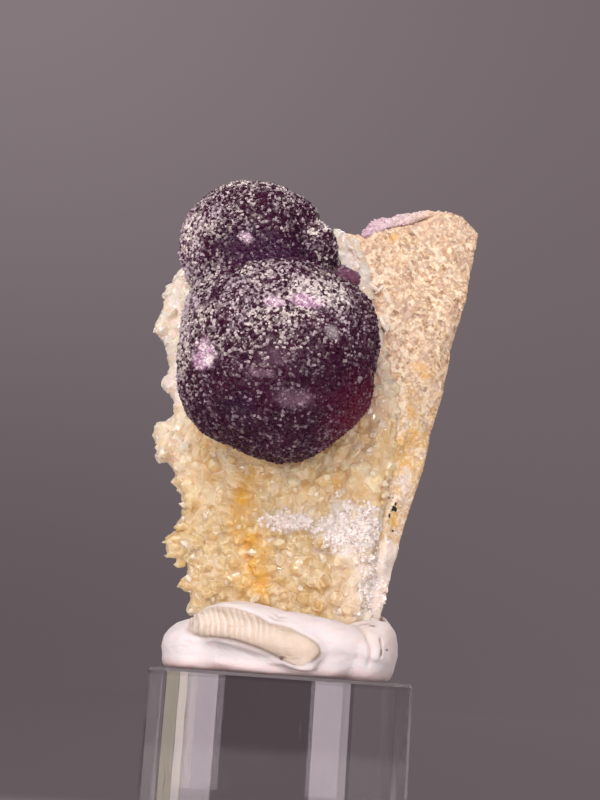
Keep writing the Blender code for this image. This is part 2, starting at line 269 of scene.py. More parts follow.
# %% Geometry helpers
class Recipe(Bench):
    def __init__(self, name, *inputs):
        super().__init__(bpy.data.node_groups.new(name, "GeometryNodeTree"))
        self.tree.interface.new_socket("Geometry", in_out="INPUT", socket_type="NodeSocketGeometry")
        for key in inputs:
            self.tree.interface.new_socket(key, in_out="INPUT", socket_type="NodeSocketFloat")
        self.tree.interface.new_socket("Material", in_out="INPUT", socket_type="NodeSocketMaterial")
        self.tree.interface.new_socket("Geometry", in_out="OUTPUT", socket_type="NodeSocketGeometry")
        self.given = self.tree.nodes.new("NodeGroupInput")

    def input(self, name):
        return Wire(self, self.pick(self.given.outputs, name))

    def scaled(self, vector, amount):
        return self.node("ShaderNodeVectorMath", {"operation": "SCALE"}, {0: vector, "Scale": amount})

    def random(self, low, high, salt, kind="FLOAT"):
        sockets = {"Min": low, "Max": high, "Seed": self.input("Seed") * 10.0 + salt}
        return self.node("FunctionNodeRandomValue", {"data_type": kind}, sockets, "Value")

    def points(self):
        """Points on the skin with their turns: Spacing apart, Sink deep, as thick as its cover says."""
        spacing = self.input("Spacing")
        named = {"Name": "cover"}
        cover = self.node("GeometryNodeInputNamedAttribute", {"data_type": "FLOAT"}, named, "Attribute")
        sockets = {
            "Mesh": self.input("Geometry"), "Distance Min": spacing, "Seed": self.input("Seed"),
            "Density Max": 1.5 / (spacing * spacing),
            "Density Factor": cover.at_least(1.0 - cover.twin("Exists")),
        }
        found = self.node("GeometryNodeDistributePointsOnFaces", {"distribute_method": "POISSON"}, sockets)
        sunk = self.scaled(found.twin("Normal"), -1.0 * self.input("Sink"))
        moved = self.node("GeometryNodeSetPosition", None, {"Geometry": found, "Offset": sunk})
        return moved, found.twin("Rotation")

    def finish(self, geometry):
        plain = self.node("GeometryNodeRealizeInstances", None, {"Geometry": geometry})
        sockets = {"Geometry": plain, "Material": self.input("Material")}
        painted = self.node("GeometryNodeSetMaterial", None, sockets)
        self.node("NodeGroupOutput", None, {"Geometry": painted})
        return self.tree


# %% Modifiers and plain meshes
def hang(piece, tree, **values):
    """Adds the tree to the piece as a modifier and sets its inputs."""
    modifier = piece.modifiers.new(tree.name, "NODES")
    modifier.node_group = tree
    for item in tree.interface.items_tree:
        if item.item_type == "SOCKET" and item.in_out == "INPUT" and item.name in values:
            modifier[item.identifier] = values[item.name]
    return modifier


def linked(name, data):
    piece = bpy.data.objects.new(name, data)
    bpy.context.scene.collection.objects.link(piece)
    return piece


def plain(piece, name=None):
    """The piece with its modifiers worked out, as a plain mesh."""
    bpy.context.view_layer.update()
    evaluated = piece.evaluated_get(bpy.context.evaluated_depsgraph_get())
    mesh = bpy.data.meshes.new_from_object(evaluated)
    mesh.name = name or piece.name
    if name:
        return linked(name, mesh)
    piece.modifiers.clear()
    piece.data = mesh
    return piece


def triangles(piece):
    return sum(len(p.vertices) - 2 for p in piece.data.polygons)


# %% [markdown]
# ## Skins
#
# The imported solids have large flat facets. A skin starts from a merged copy of a solid,
# which a voxel remesh turns into small even faces, and smoothing rounds off the facets.
# Everything finer is then worked into that skin. The same remesh melts crystals together.


# %% Skin of a solid
def melt(piece, voxel, rounds):
    """Melts whatever overlaps in a piece into one closed skin of even faces, and smooths it."""
    remesh = piece.modifiers.new("one skin", "REMESH")
    remesh.mode, remesh.voxel_size = "VOXEL", voxel * MM
    smooth = piece.modifiers.new("smooth", "SMOOTH")
    smooth.factor, smooth.iterations = 0.5, rounds
    return plain(piece)


def skin(node, name, voxel, rounds):
    """A fine closed skin in the place of the CAD node's solid."""
    mesh = bpy.data.meshes.new(name)
    bm = bmesh.new()
    bm.from_mesh(nodes[node].data)
    bmesh.ops.remove_doubles(bm, verts=bm.verts, dist=0.001 * MM)
    bm.to_mesh(mesh)
    bm.free()
    return melt(linked(name, mesh), voxel, rounds)


# %% Weathering
def weathering():
    """Swells a skin and works lumps, grain and small flat blocks into it along its normals."""
    names = [f"{form} {measure}" for form in ("Lump", "Grain", "Block") for measure in ("size", "height")]
    recipe = Recipe("weathering", "Swell", *names, "Seed")

    def relief(size, height, salt):
        sockets = {"W": recipe.input("Seed") + salt, "Scale": 1.0 / recipe.input(size), "Detail": 2.0}
        field = recipe.node("ShaderNodeTexNoise", {"noise_dimensions": "4D"}, sockets)
        return (field - 0.5) * 2.0 * recipe.input(height)

    amount = recipe.input("Swell") + relief("Lump size", "Lump height", 0.0)
    amount = amount + relief("Grain size", "Grain height", 5.0)
    blocks = recipe.facets(recipe.node("GeometryNodeInputPosition"), 1.0 / recipe.input("Block size"))
    amount = amount + blocks * recipe.input("Block height")
    offset = recipe.scaled(recipe.node("GeometryNodeInputNormal"), amount)
    moved = {"Geometry": recipe.input("Geometry"), "Offset": offset}
    return recipe.finish(recipe.node("GeometryNodeSetPosition", None, moved))


WEATHERING = weathering()


def weather(piece, material, seed, swell=0.0, lumps=(1.0, 0.0), grain=(1.0, 0.0), blocks=(1.0, 0.0)):
    """Weathers a skin. Each pair is a size and a height in millimetres."""
    hang(piece, WEATHERING, **{
        "Material": material, "Seed": float(seed), "Swell": swell * MM,
        "Lump size": lumps[0] * MM, "Lump height": lumps[1] * MM,
        "Grain size": grain[0] * MM, "Grain height": grain[1] * MM,
        "Block size": blocks[0] * MM, "Block height": blocks[1] * MM,
    })
    return plain(piece)


# %% [markdown]
# ## Shaping one by one
#
# Some forms are one of a kind: a corner that stands out, a crease, a seam. A push moves
# the skin round one place as a thumb would, and a groove presses a bent line into it. A
# curve through a few places keeps such a line smooth.


# %% Push
def surface_of(piece):
    """A skin's vertices and normals as arrays, in millimetres."""
    count = len(piece.data.vertices)
    places, normals = np.empty(count * 3), np.empty(count * 3)
    piece.data.vertices.foreach_get("co", places)
    piece.data.vertices.foreach_get("normal", normals)
    return places.reshape(-1, 3) / MM, normals.reshape(-1, 3)


def put(piece, places):
    piece.data.vertices.foreach_set("co", (places * MM).ravel())
    piece.data.update()


def mark(piece, name, values):
    """Writes a number on each vertex, for a material or a recipe to read."""
    old = piece.data.attributes.get(name)
    if old:
        piece.data.attributes.remove(old)
    piece.data.attributes.new(name, "FLOAT", "POINT").data.foreach_set("value", np.asarray(values, float))


def push(piece, *pushes):
    """Moves a skin round each centre by a vector, fading out to the edge of an ellipsoid of these radii."""
    for centre, radii, move in pushes:
        places, _ = surface_of(piece)
        near = np.clip(1.0 - np.linalg.norm((places - centre) / radii, axis=1), 0.0, 1.0)
        put(piece, places + (near * near * (3.0 - 2.0 * near))[:, None] * np.array(move))


# %% Curve and groove
def curve(corners, steps=6):
    """A smooth line through the corners."""
    corners = np.array([corners[0], *corners, corners[-1]], float)
    line = []
    for a, b, c, d in zip(corners, corners[1:], corners[2:], corners[3:]):
        for t in np.arange(steps) / steps:
            bend = 2 * a - 5 * b + 4 * c - d + t * (3 * b - a - 3 * c + d)
            line.append(b + 0.5 * t * (c - a + t * bend))
    return np.array([*line, corners[-1]])


def near_line(places, line):
    """The distance from each place to a line, and how far along the line it is, from 0 to 1."""
    steps = np.linalg.norm(np.diff(line, axis=0), axis=1)
    starts = np.cumsum(steps) - steps
    best, share = np.full(len(places), np.inf), np.zeros(len(places))
    for first, second, step, start in zip(line, line[1:], steps, starts):
        along = (second - first) / step
        reach = np.clip((places - first) @ along, 0.0, step)
        far = np.linalg.norm(places - first - reach[:, None] * along, axis=1)
        share = np.where(far < best, (start + reach) / steps.sum(), share)
        best = np.minimum(best, far)
    return best, share


def groove(piece, corners, depth, width, fade=8.0):
    """Presses a line into a skin, or raises it if depth is negative. Gives how near each vertex is."""
    places, normals = surface_of(piece)
    far, share = near_line(places, curve(corners))
    near = np.exp(-((far / width) ** 2)) * np.clip(np.minimum(share, 1.0 - share) * fade, 0.0, 1.0)
    put(piece, places - normals * (depth * near)[:, None])
    return near


# %% [markdown]
# ## Grit
#
# The fluorite's skin is a druse of tiny cubes, each about a quarter of a millimetre, that
# point every way. Points a set distance apart on the skin each get a cube, turned at
# random about its middle, with a random tint that the material reads. A bump map would
# be quicker, but real grains also show at the outline and catch the light one by one.


# %% Grit recipe
def grit():
    recipe = Recipe("grit", "Spacing", "Grain", "Spread", "Sink", "Seed")
    points, _ = recipe.points()
    size = recipe.input("Grain") * (1.0 + recipe.input("Spread") * recipe.random(-1.0, 1.0, 1))
    turn = recipe.random((0.0,) * 3, (math.tau,) * 3, 2, "FLOAT_VECTOR")
    sockets = {"X": size, "Y": size, "Z": size * recipe.random(0.8, 1.7, 3)}
    scale = recipe.node("ShaderNodeCombineXYZ", None, sockets)
    cube = recipe.node("GeometryNodeMeshCube", None, {"Size": (1.0, 1.0, 1.0)})
    sockets = {"Points": points, "Instance": cube, "Rotation": turn, "Scale": scale}
    grains = recipe.node("GeometryNodeInstanceOnPoints", None, sockets)
    sockets = {"Geometry": grains, "Name": "tint", "Value": recipe.random(0.0, 1.0, 4)}
    settings = {"domain": "INSTANCE", "data_type": "FLOAT"}
    return recipe.finish(recipe.node("GeometryNodeStoreNamedAttribute", settings, sockets))


GRIT = grit()


def strewn(host, name, material, spacing, grain, spread, sink, seed):
    """The grit on a skin, as a piece of its own. Its spacing, grain and sink are in millimetres."""
    modifier = hang(host, GRIT, **{
        "Material": material, "Spacing": spacing * MM, "Grain": grain * MM, "Spread": spread,
        "Sink": sink * MM, "Seed": float(seed),
    })
    piece = plain(host, name)
    host.modifiers.remove(modifier)
    print(name, "grit:", triangles(piece), "triangles")
    return piece


# %% [markdown]
# ## Purple fluorite
#
# Seen close, the balls are almost black purple between bright facets. The tops carry a
# pale frost, which is partly painted highlight on the tops and the left side. The lower
# half is plain, with painted shade there and on the right side, and a few knocks have
# bruised it pink and white. One function makes the finishes of the grains and of the
# ground between them, so both follow the same patches.


# %% Knocks
SMOOTH_KNOB = (4.9, -6.6, 79.3)


def lay_knocks(f, tint):
    """Pink and white bruises, dusty smudges, a chip and pale spots, and the knob worn smooth."""
    bruise = f.patches([
        ((-3.6, -20.0, 72.0), (1.1, 2.0, 0.6)), ((-11.5, -17.3, 65.9), (1.4, 2.0, 1.7)),
        ((-8.0, -13.0, 81.8), (0.8, 1.2, 0.6)),
    ], 0.4, 0.9, 1.0)
    bruise = bruise.at_least(f.patch((0.0, -19.5, 72.4), (1.9, 2.5, 0.9)))
    pink = f.mix(tint.step(0.1, 0.8), (0.50, 0.27, 0.44), (0.94, 0.80, 0.84))
    smudge = f.patches([
        ((-0.4, -19.2, 61.0), (2.2, 2.0, 1.0), 0.5, 0.8, 1.0),
        ((-4.8, -20.2, 63.6), (1.3, 1.5, 0.5), 0.5, 0.9, 0.8),
    ])
    smudge = smudge.at_least(f.patch((-3.2, -20.0, 65.4), (1.6, 1.5, 1.4), 0.6, 0.9, 1.0) * 0.6)
    f.lay(smudge * 0.40, (0.38, 0.24, 0.33))
    f.lay(bruise * 0.85, pink)
    chip = f.patch((-10.8, -17.6, 65.3), (0.7, 1.5, 0.6), 0.3, 0.7, 0.8)
    f.lay(chip * 0.8, (0.95, 0.86, 0.86))
    spot = f.patches([
        ((3.2, -19.0, 69.1), (0.8, 1.5, 0.8), 0.5, 0.8, 0.8), ((6.9, -15.5, 64.6), (0.35, 0.8, 0.35)),
    ])
    f.lay(spot * 0.55, (0.62, 0.55, 0.58))
    dull = f.patch(SMOOTH_KNOB, (2.0, 2.2, 2.0), 0.2, 0.2, 1.0)
    f.lay(dull * 0.8, f.mix(f.noise(0.8), (0.10, 0.03, 0.07), (0.27, 0.12, 0.18)))


# %% Purple finishes
def fluorite_finish(name, on_grains):
    f = Finish(name, IOR=1.434, Specular_IOR_Level=0.3)
    # Pale frosting on the tops, with the white patches; partly painted highlight where the tops and the left
    # side face the light.
    frost_and_highlight = f.patches([
        ((-3.5, -19.0, 72.5), (9.0, 8.0, 6.5), 0.8, 0.5, 3.0),
        ((-14.0, -9.0, 85.0), (4.5, 5.0, 5.5), 0.7, 0.5, 2.0),
    ])
    frost_and_highlight = frost_and_highlight.at_least(f.patch((-15.0, -13.0, 69.0), (4.5, 6.0, 10.0), 0.7, 0.6, 2.0) * 1.6)
    frost_and_highlight = frost_and_highlight.at_least(f.patch((-16.5, -9.0, 73.0), (3.5, 7.0, 8.5), 0.7, 0.6, 2.0) * 2.8)
    white = f.patches([
        ((2.0, -17.5, 74.0), (3.6, 5.0, 1.8)), ((-15.0, -8.0, 83.5), (2.0, 5.0, 2.4)),
        ((-8.5, -8.0, 91.0), (5.0, 5.0, 2.2)), ((1.0, -9.5, 84.5), (1.6, 3.0, 1.5)),
    ], 0.6, 0.7, 1.5)
    # Painted shade: the lower half and the right side, the front of the small ball's underside, and low on
    # the large ball's front right.
    low = f.axis("Z").step(0.069, 0.060) + f.axis("X").step(0.003, 0.008) * 0.6
    front = f.patch((-5.0, -12.5, 80.5), (6.5, 4.0, 2.6), 0.5, 0.4, 2.0)
    shade = f.patch((2.8, -18.0, 65.3), (5.0, 6.0, 3.6), 0.7, 0.4, 2.0)
    frost_and_painted_light_shift = frost_and_highlight * 0.24 + white * 0.22 - low * 0.15 - front * 0.24 - shade * 0.22
    frost_and_painted_light_shift = frost_and_painted_light_shift + (f.noise(2.2, 3.0) - 0.5) * 0.65 - 0.06
    tint = f.written("tint") if on_grains else f.lot(0.30) * 0.8
    pale = (tint + frost_and_painted_light_shift).step(0.38, 1.15)
    deep = f.mix(f.noise(3.0), (0.024, 0.005, 0.020), (0.070, 0.009, 0.036))
    # Painted glow: a reddish rim low on the right, for light shining through the crystal.
    glow = f.patch((7.0, -11.0, 61.0), (4.5, 6.0, 4.5), 0.7, 0.4, 2.0)
    deep = f.mix(glow * 0.7, deep, (0.17, 0.012, 0.045))
    blue = f.patch((-6.8, -16.8, 59.7), (2.0, 3.0, 1.6)).at_least(front)
    deep = f.mix(blue * 0.5, deep, (0.050, 0.012, 0.055))
    # Painted rim light: the small ball's left side made paler.
    lit_left_limb = f.patch((-16.5, -7.0, 82.0), (2.6, 6.0, 4.5), 0.6, 0.4, 2.0)
    deep = f.mix(lit_left_limb * 0.6, deep, (0.16, 0.04, 0.13))
    frost_colour_and_shade = f.mix(f.noise(4.0, 3.0).step(0.4, 0.6), (0.62, 0.51, 0.56), (0.78, 0.69, 0.66))
    # Painted shade: the frost darker in the lower half.
    frost_colour_and_shade = f.mix(low.at_most(1.0) * 0.55, frost_colour_and_shade, (0.30, 0.18, 0.25))
    frost_colour_and_shade = f.mix(white * 0.7, frost_colour_and_shade, (0.92, 0.85, 0.78))
    f.colour = f.mix(pale, deep, frost_colour_and_shade)
    lay_knocks(f, tint)
    return f.done(Roughness=0.28 + pale * 0.3)


fluorite_grain = fluorite_finish("purple fluorite grains", True)
fluorite_ground = fluorite_finish("purple fluorite ground", False)

# %% [markdown]
# The balls meet in soft necks. Swelling the skin, melting it and shrinking it again fills
# the sharp valleys between them. A few pushes and scratches then follow the photograph.

# %% Balls
balls = skin("fluorite_balls", "fluorite_ball_skin", 0.3, 10)
NECK_FILL = 0.6
weather(balls, fluorite_ground, 3, swell=NECK_FILL)
melt(balls, 0.3, 3)
weather(balls, fluorite_ground, 3, swell=-NECK_FILL - 0.02, lumps=(2.5, 0.10), grain=(0.5, 0.12))
push(
    balls,
    ((-3.0, -9.0, 66.0), (22.0, 22.0, 13.0), (-0.45, 0.0, 0.0)),
    ((10.0, -9.0, 70.5), (9.0, 14.0, 9.0), (-0.55, 0.0, 0.0)),
    ((4.5, -9.0, 59.0), (8.0, 12.0, 7.0), (0.45, 0.0, -0.10)),
    ((9.0, -9.0, 62.5), (6.0, 12.0, 5.0), (0.45, 0.0, 0.0)),
    ((-2.5, -5.0, 84.0), (9.0, 12.0, 8.0), (0.35, 0.0, 0.1)),
    ((-15.0, -5.0, 84.0), (7.0, 12.0, 8.0), (-0.25, 0.0, 0.2)),
    ((-1.0, -6.0, 88.0), (5.5, 9.0, 5.0), (0.95, 0.0, 0.1)),
    ((2.4, -6.0, 86.4), (3.2, 7.0, 2.8), (0.25, 0.0, -0.5)),
    ((4.2, -7.0, 84.0), (3.4, 7.0, 3.4), (-0.75, 0.0, -0.45)),
    ((-14.6, -8.0, 76.5), (4.0, 8.0, 4.0), (-0.65, 0.0, 0.0)),
)
dent = [(-12.5, -17.0, 65.2), (-9.6, -19.2, 65.6), (-6.4, -20.6, 64.9), (-3.6, -21.0, 63.2)]
groove(balls, dent, 0.30, 0.6)
for scratch in (
    [(-5.3, -20.0, 63.9), (-4.8, -20.2, 63.6), (-4.2, -20.2, 63.4)],
    [(1.2, -18.2, 60.5), (1.9, -18.0, 60.9), (2.8, -17.6, 61.2)],
):
    groove(balls, scratch, 0.15, 0.25, 4.0)
knob = Vector(SMOOTH_KNOB)
thick = [0.25 if (v.co / MM - knob).length < 2.3 else 1.0 for v in balls.data.vertices]
NECK_HEIGHT = 77.5 * MM
ball_pieces = [balls]
for name, above in (("fluorite_large_ball_grit", False), ("fluorite_small_balls_grit", True)):
    mark(balls, "cover", [t * ((v.co.z > NECK_HEIGHT) == above) for t, v in zip(thick, balls.data.vertices)])
    ball_pieces.append(strewn(
        balls, name, fluorite_grain, spacing=0.255, grain=0.25, spread=0.5, sink=0.03, seed=7,
    ))
for piece in ball_pieces:
    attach(piece, "root")
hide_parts("fluorite_balls")
print("ball skin:", triangles(balls), "triangles")

# %% [markdown]
# ## Lilac rind
#
# A thin layer of the same mineral runs along the rock's top edge, much paler and with
# finer grains. Its solid is an even band, so the skin is first thinned towards both ends,
# and then it gets lumps and the same kind of grit as the balls.


# %% Rind finish
def rind_finish():
    f = Finish("lilac fluorite", IOR=1.434, Roughness=0.4)
    f.colour = f.mix(f.axis("X").step(0.006, 0.015), (0.68, 0.48, 0.56), (0.84, 0.68, 0.62))
    far = f.axis("X") + (f.noise(2.0, 3.0) - 0.5) * 0.008
    f.lay(far.step(0.0125, 0.0165) * 0.8, (0.84, 0.62, 0.44))
    f.lay(f.noise(0.6, 3.0).step(0.45, 0.75) * 0.8, (0.92, 0.80, 0.80))
    f.lay(f.lot(0.35).step(0.75, 0.95) * 0.5, (0.52, 0.32, 0.44))
    return f.done(Roughness=0.3 + f.noise(0.5) * 0.4)


# %% Rind
lilac = rind_finish()
rind = skin("fluorite_rind", "fluorite_rind_skin", 0.2, 4)
EDGE_LEFT, EDGE_RIGHT = Vector((6.2, 86.55)) * MM, Vector((18.8, 91.9)) * MM
edge, reach = (EDGE_RIGHT - EDGE_LEFT).normalized(), (EDGE_RIGHT - EDGE_LEFT).length
for vertex in rind.data.vertices:
    place = Vector((vertex.co.x, vertex.co.z)) - EDGE_LEFT
    along, rise = place.dot(edge) / reach, edge.x * place.y - edge.y * place.x
    keep = min(1.0, 0.25 + 4.0 * max(0.0, along)) * min(1.0, 0.25 + 2.2 * max(0.0, 1.0 - along))
    vertex.co += Vector((-edge.y, 0.0, edge.x)) * max(0.0, rise) * (keep - 1.0)
weather(rind, lilac, 5, swell=0.15, lumps=(2.0, 0.32), grain=(0.6, 0.14))
push(
    rind,
    ((7.0, -1.0, 88.2), (3.5, 5.0, 3.0), (0.0, 0.0, -0.55)),
    ((15.5, -1.0, 91.8), (6.0, 7.0, 4.0), (0.0, 0.0, 0.8)),
)
rind_grit = strewn(
    rind, "fluorite_rind_grit", lilac, spacing=0.3, grain=0.24, spread=0.4, sink=0.05, seed=2,
)
for piece in (rind, rind_grit):
    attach(piece, "root")
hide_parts("fluorite_rind")
print("rind skin:", triangles(rind), "triangles")

# %% [markdown]
# ## Quartz crust
#
# The crust is a mass of stubby quartz crystals, one to two millimetres across, grown into
# each other. Six-sided points are scattered on the solid's skin, pointing outwards with a
# random lean, and a voxel remesh melts them into one closed, milky skin. Small flat faces
# are then cut into it, and a few small pale tips, left sharp, catch the light on top.


# %% Crystal recipe
def crystals():
    """Six-sided points on a skin. With Core at 1 the skin itself stays with them."""
    recipe = Recipe("crystals", "Spacing", "Width", "Length", "Spread", "Lean", "Sink", "Core", "Seed")
    points, facing = recipe.points()
    lean = recipe.input("Lean")
    tilt = recipe.node("ShaderNodeCombineXYZ", None, {
        "X": lean * recipe.random(-1.0, 1.0, 1), "Y": lean * recipe.random(-1.0, 1.0, 2),
        "Z": recipe.random(0.0, math.tau, 3),
    })
    tilt = recipe.node("FunctionNodeEulerToRotation", None, {"Euler": tilt})
    sockets = {"Rotation": facing, "Rotate By": tilt}
    turn = recipe.node("FunctionNodeRotateRotation", {"rotation_space": "LOCAL"}, sockets)
    size = 1.0 + recipe.input("Spread") * recipe.random(-1.0, 1.0, 4)
    width = recipe.input("Width") * 0.5 * size
    length = recipe.input("Length") * size * recipe.random(0.7, 1.3, 5)
    scale = recipe.node("ShaderNodeCombineXYZ", None, {"X": width, "Y": width, "Z": length})
    sockets = {"Vertices": 6, "Side Segments": 2, "Radius Top": 0.0, "Radius Bottom": 1.0, "Depth": 1.0}
    cone = recipe.node("GeometryNodeMeshCone", {"fill_type": "NGON"}, sockets, "Mesh")
    place = recipe.node("GeometryNodeInputPosition")
    height = recipe.part(place, "Z")
    waist = height.step(0.2, 0.4) * height.step(0.9, 0.7)
    wider = recipe.vector("MULTIPLY", place, (0.75, 0.75, 0.0))
    sockets = {"Geometry": cone, "Offset": recipe.scaled(wider, waist)}
    point = recipe.node("GeometryNodeSetPosition", None, sockets)
    sockets = {"Points": points, "Instance": point, "Rotation": turn, "Scale": scale}
    grown = recipe.node("GeometryNodeInstanceOnPoints", None, sockets)
    join = recipe.tree.nodes.new("GeometryNodeJoinGeometry")
    for wire in (grown, recipe.input("Geometry")):
        recipe.tree.links.new(wire.socket, join.inputs[0])
    choice = {"Switch": recipe.input("Core"), "False": grown, "True": Wire(recipe, join.outputs[0])}
    return recipe.finish(recipe.node("GeometryNodeSwitch", {"input_type": "GEOMETRY"}, choice))


CRYSTALS = crystals()


# %% Quartz colours
CRYSTAL_FACE = 1.15


def near_border(f):
    """How near a point is to the border of crust and rock, roughened by noise."""
    return f.written("margin") + (f.noise(1.0, 3.0) - 0.5) * 1.3


def lay_quartz(f):
    """The crust's colours: cream yellow, amber down one streak, paler at the top and the sides, with painted
    shade right of the ball and painted light along the crystals' edges.
    """
    f.colour = f.mix(f.noise(3.0, 3.0).step(0.35, 0.65), (0.82, 0.58, 0.28), (0.90, 0.71, 0.44))
    across, height = f.axis("X"), f.axis("Z")
    f.lay(height.step(0.054, 0.047), (0.79, 0.765, 0.70), "MULTIPLY")
    left_lump = across.step(-0.0120, -0.0150) * height.step(0.050, 0.056)
    pale = height.step(0.059, 0.065).at_least(left_lump * 0.5)
    pale = pale.at_least(f.patch((9.5, -4.0, 40.5), (3.6, 6.0, 6.0), 0.6, 0.6, 2.0) * 0.8)
    yellower = across.step(0.004, 0.008) * height.step(0.076, 0.062)
    f.lay(pale * (0.80 - yellower * 0.35), (0.95, 0.83, 0.77))
    upper = f.patch((6.5, -3.0, 83.0), (3.2, 6.0, 6.0), 0.6, 0.4, 2.5)
    f.lay(upper * 0.5, (0.98, 0.82, 0.79))
    lot = f.lot(CRYSTAL_FACE)
    f.lay(lot.step(0.45, 1.0) * 0.30, (0.98, 0.89, 0.74))
    f.lay(lot.step(0.35, 0.0) * 0.42, (0.82, 0.73, 0.58), "MULTIPLY")
    shaded = f.patch((9.0, -3.0, 73.0), (3.6, 6.0, 13.0), 0.5, 0.4, 2.5)
    f.lay(shaded, (0.97, 0.89, 0.83), "MULTIPLY")
    # Painted light: thin bright lines along the crystals' edges, where light leaks through.
    lit_crystal_edges = f.cells(CRYSTAL_FACE, feature="DISTANCE_TO_EDGE").step(0.06, 0.0)
    f.lay(lit_crystal_edges * 0.2, (0.98, 0.90, 0.76))
    streak = f.patches([
        ((-5.9, -2.5, 50.5), (1.7, 4.0, 6.0)), ((-4.3, -2.0, 43.5), (2.0, 4.0, 5.5)),
    ], 0.6, 0.8, 2.0)
    f.lay(streak * (0.40 + f.lot(0.8) * 0.4), (0.80, 0.48, 0.11))
    core = f.patches([
        ((-6.3, -2.2, 51.5), (0.7, 2.0, 1.0)), ((-5.0, -1.5, 46.3), (0.9, 2.0, 0.8)),
        ((-3.1, -1.9, 40.8), (0.8, 2.0, 1.4)), ((-4.6, -2.0, 43.2), (0.6, 2.0, 0.9)),
        ((5.4, -3.0, 53.6), (0.6, 2.0, 0.6)),
    ], 0.6, 1.1, 0.7)
    f.lay(core * 0.55, (0.88, 0.46, 0.03))
    sandy = near_border(f).step(0.55, 0.75) * f.lot(0.4).step(0.1, 0.5)
    f.lay(sandy * 0.8, (0.86, 0.64, 0.42))


# %% Quartz finishes
def powder_of(f):
    """Where white powder lies."""
    powder = f.patches([
        ((-0.3, -2.5, 48.8), (3.0, 4.0, 1.0), 0.5, 1.3, 1.4),
        ((7.2, -3.5, 48.3), (4.0, 5.0, 3.2), 0.5, 1.0, 1.4),
    ])
    return powder.at_least(f.patch((10.0, -3.5, 42.0), (1.8, 5.0, 4.0), 0.5, 1.0, 1.4) * 0.6)


def milky_quartz():
    f = Finish(
        "milky quartz", IOR=1.54, Subsurface_Weight=0.85, Subsurface_Scale=1.8 * MM,
        Subsurface_Radius=(1.0, 0.78, 0.5), Specular_IOR_Level=0.7,
    )
    powder = powder_of(f)
    lay_quartz(f)
    f.lay(powder * 0.8, (0.98, 0.88, 0.82))
    relief = f.facets(f.place, 1.0 / (0.55 * MM)) + f.noise(0.3) * 0.4 * powder
    return f.done(Roughness=0.10 + powder * 0.5, Normal=f.bump(relief, 0.05, 0.8))


def tip_quartz():
    f = Finish("pale quartz tips", IOR=1.54, Transmission_Weight=0.08)
    lay_quartz(f)
    f.lay(0.5, (1.0, 0.93, 0.80))
    relief = f.facets(f.place, 1.0 / (0.5 * MM))
    return f.done(Roughness=0.05 + f.noise(1.0) * 0.12, Normal=f.bump(relief, 0.03, 0.5))


def powder_finish():
    f = Finish("white quartz powder", IOR=1.54)
    f.colour = f.ramp(f.written("tint"), [
        (0.0, (0.50, 0.38, 0.32)), (0.08, (0.92, 0.80, 0.73)),
        (0.4, (1.0, 0.93, 0.89)), (1.0, (1.0, 0.97, 0.95)),
    ])
    f.lay(f.noise(1.5) * 0.3, (0.96, 0.82, 0.70))
    return f.done(Roughness=0.5 + f.noise(0.5) * 0.4)


# %% [markdown]
# Where the crystals stand thickly and where powder lies on them follows the photograph.
# A ragged ellipsoid in numbers does for the skin what a patch does for a finish.


# %% Cover of crystals and powder
def ragged(place, centre, radii, size, amount):
    """1 inside an ellipsoid, 0 outside, with an edge that noise breaks up, in millimetres."""
    far = Vector((p - c) / r for p, c, r in zip(place, centre, radii)).length
    return min(1.0, max(0.0, 2.5 * (1.0 - far + amount * noise.noise(place / size))))


def powder_cover(place, normal):
    if normal.y > 0.0:
        return 0.0
    left = ragged(place, (-0.3, -2.5, 48.8), (3.0, 5.0, 1.2), 0.9, 0.9)
    right = ragged(place, (7.2, -3.5, 48.3), (4.2, 6.0, 3.4), 1.1, 0.8)
    foot = ragged(place, (10.2, -3.5, 42.0), (1.8, 6.0, 4.5), 1.0, 0.9) * 0.5
    return max(left, right, foot)


def crystal_cover(place, normal):
    if normal.y > 0.5 or place.z < 36.5:
        return 0.0
    return 0.35 if place.x < -13.8 and place.z > 56.5 else 1.0


def tip_cover(place, normal):
    return 0.14 * crystal_cover(place, normal) if noise.noise(place / 2.5) > 0.0 else 0.02


def cover(piece, share):
    """Writes on each vertex how thickly things stand there, from 0 to 1."""
    mark(piece, "cover", [share(v.co / MM, v.normal) for v in piece.data.vertices])


# %% Single crystals
SIDES = 6


def spike(bm, root, tip, width):
    """One long six-sided crystal, from its root to its tip, in millimetres."""
    root, tip = Vector(root), Vector(tip)
    turn = (tip - root).to_track_quat("Z", "Y")
    rings = []
    for share, size in ((0.0, 1.0), (0.55, 0.9)):
        angles = np.arange(SIDES) * math.tau / SIDES
        corners = [Vector((math.cos(a), math.sin(a), 0.0)) * width * 0.5 * size for a in angles]
        rings.append([bm.verts.new(((turn @ c) + root.lerp(tip, share)) * MM) for c in corners])
    point = bm.verts.new(tip * MM)
    low, high = rings
    bm.faces.new(reversed(low))
    for i in range(SIDES):
        j = (i + 1) % SIDES
        bm.faces.new((low[i], low[j], high[j], high[i]))
        bm.faces.new((high[i], high[j], point))


def add_spikes(piece, spikes, thinner=1.0):
    bm = bmesh.new()
    bm.from_mesh(piece.data)
    for root, tip, width in spikes:
        spike(bm, root, tip, width * thinner)
    bm.to_mesh(piece.data)
    bm.free()


# %% Quartz crust
milky, pale_tip = milky_quartz(), tip_quartz()
BORDER = curve([
    (5.5, -2.8, 86.0), (8.0, -2.4, 82.5), (10.0, -2.5, 78.1), (11.2, -2.7, 72.9), (12.1, -3.1, 67.6),
    (12.7, -3.4, 62.4), (11.6, -3.9, 58.4), (11.1, -4.0, 55.9), (12.0, -2.6, 51.0),
])


def mark_margin(piece):
    """Writes how near a skin is to the border of crust and rock, for both finishes to grow ragged there."""
    places, _ = surface_of(piece)
    mark(piece, "margin", np.exp(-((near_line(places, BORDER)[0] / 1.3) ** 2)))


